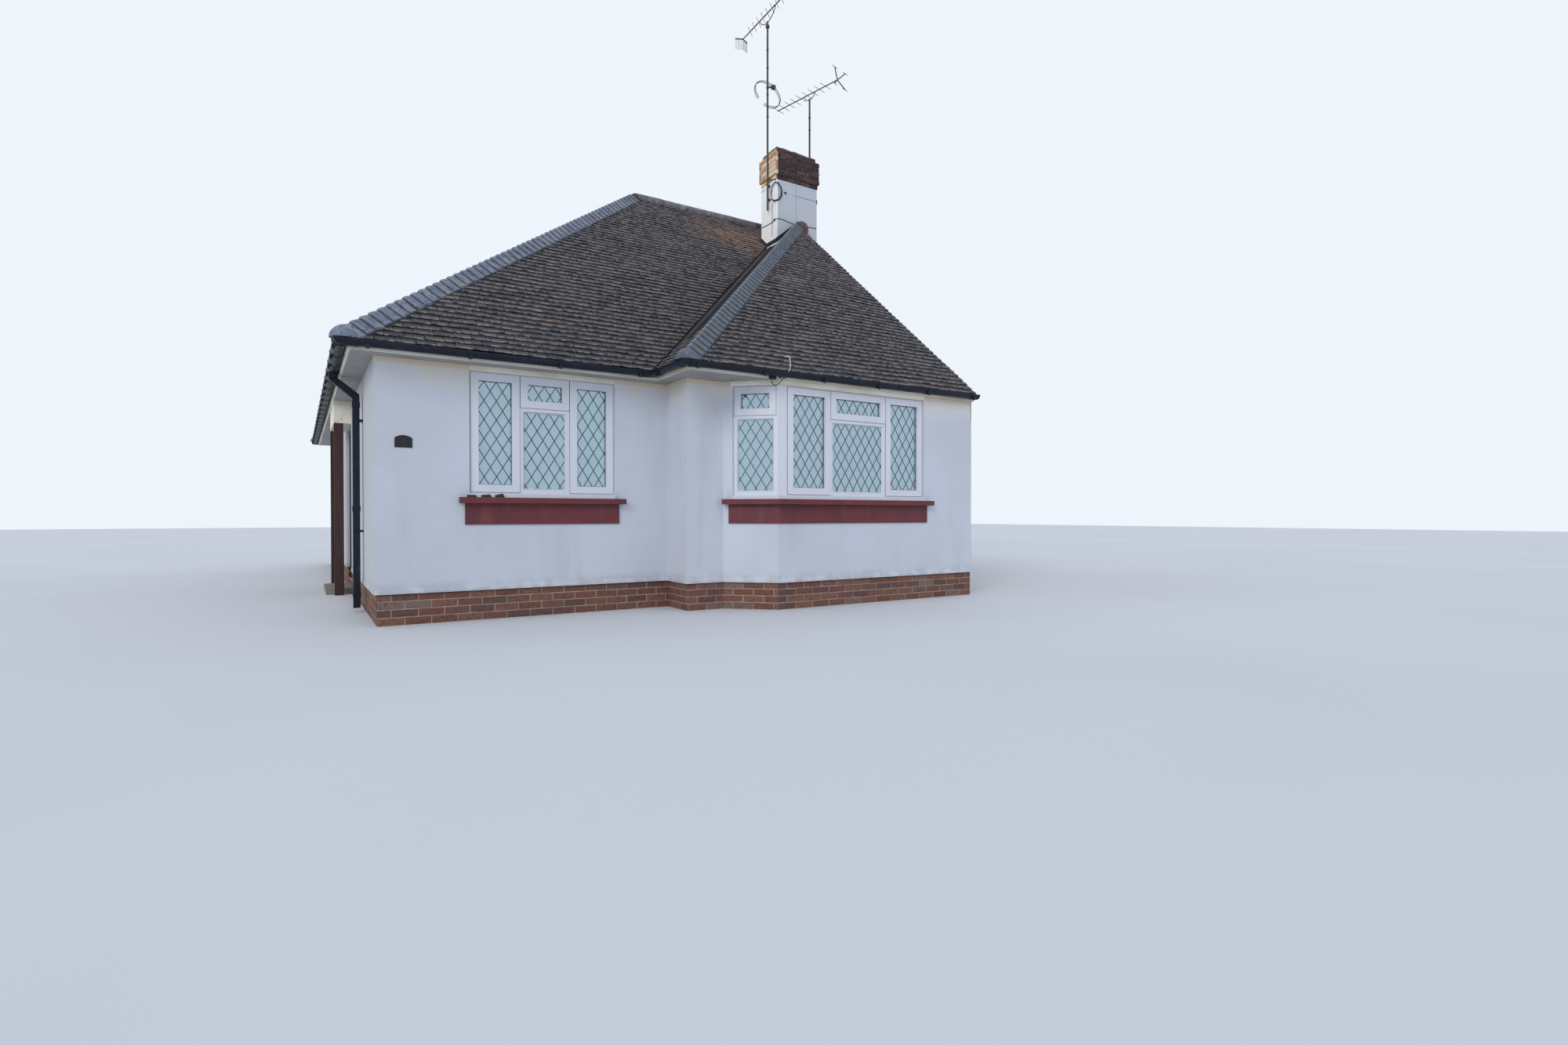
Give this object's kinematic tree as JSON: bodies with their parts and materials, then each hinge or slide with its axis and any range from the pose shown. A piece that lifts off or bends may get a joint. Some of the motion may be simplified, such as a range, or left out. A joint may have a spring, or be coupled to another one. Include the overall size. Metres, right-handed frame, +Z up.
{
  "type": "semi-detached bungalow",
  "caption": "Half of a single-storey rendered bungalow pair with a hipped tiled roof, a splayed bay, leaded windows and a shared chimney with aerials.",
  "frame": {"origin": "on the ground, in the middle of the main rectangular block's footprint", "axes": "+Z up, -Y towards the front of the house, +X towards the party wall"},
  "size_m": [7.745, 11.704, 9.5658],
  "materials": {
    "brick": "matte",
    "party_brick": "matte",
    "chimney_brick": "matte",
    "concrete": "matte",
    "plaster": "matte",
    "render": "matte",
    "roof_tile": "matte",
    "hip_tile": "matte",
    "valley_lead": "matte",
    "painted_board": "satin",
    "black_plastic": "satin",
    "white_plastic": "satin",
    "glass": "polished",
    "maroon_paint": "satin",
    "brown_timber": "satin",
    "dark_plate": "satin",
    "grey_metal": "satin"
  },
  "bodies": {
    "root": {"brick_plinth": "brick", "ground_floor": "concrete", "ceiling": "plaster", "front_wall": "render", "return_wall": "render", "bay_splay_wall": "render", "bay_front_wall": "render", "left_wall": "render", "kitchen_end_wall": "render", "kitchen_side_wall": "render", "rear_wall": "render", "party_wall": "party_brick", "chimney_stack": "render", "chimney_head": "chimney_brick", "roof_front": "roof_tile", "roof_left": "roof_tile", "roof_rear": "roof_tile", "bay_roof_front": "roof_tile", "bay_roof_left": "roof_tile", "kitchen_roof_right": "roof_tile", "kitchen_roof_end": "roof_tile", "hip_tiles_front": "hip_tile", "hip_tiles_bay": "hip_tile", "hip_tiles_rear": "hip_tile", "ridge_tiles": "hip_tile", "valley_troughs": "valley_lead", "fascia": "painted_board", "soffit": "painted_board", "gutter": "black_plastic", "downpipe": "black_plastic", "front_window_frame": "white_plastic", "bay_window_frame": "white_plastic", "bay_corner_post": "white_plastic", "rear_window_frames": "white_plastic", "front_glass": "glass", "rear_glass": "glass", "front_sill": "maroon_paint", "bay_sill": "maroon_paint", "rear_sills": "maroon_paint", "sill_bands": "maroon_paint", "side_door": "brown_timber", "side_door_frame": "brown_timber", "door_hood": "painted_board", "hood_posts": "brown_timber", "door_step": "concrete", "number_plate": "dark_plate", "aerial_masts": "grey_metal", "tall_aerial": "grey_metal", "ring_aerial": "grey_metal", "short_aerial": "grey_metal"}
  },
  "joints": []
}
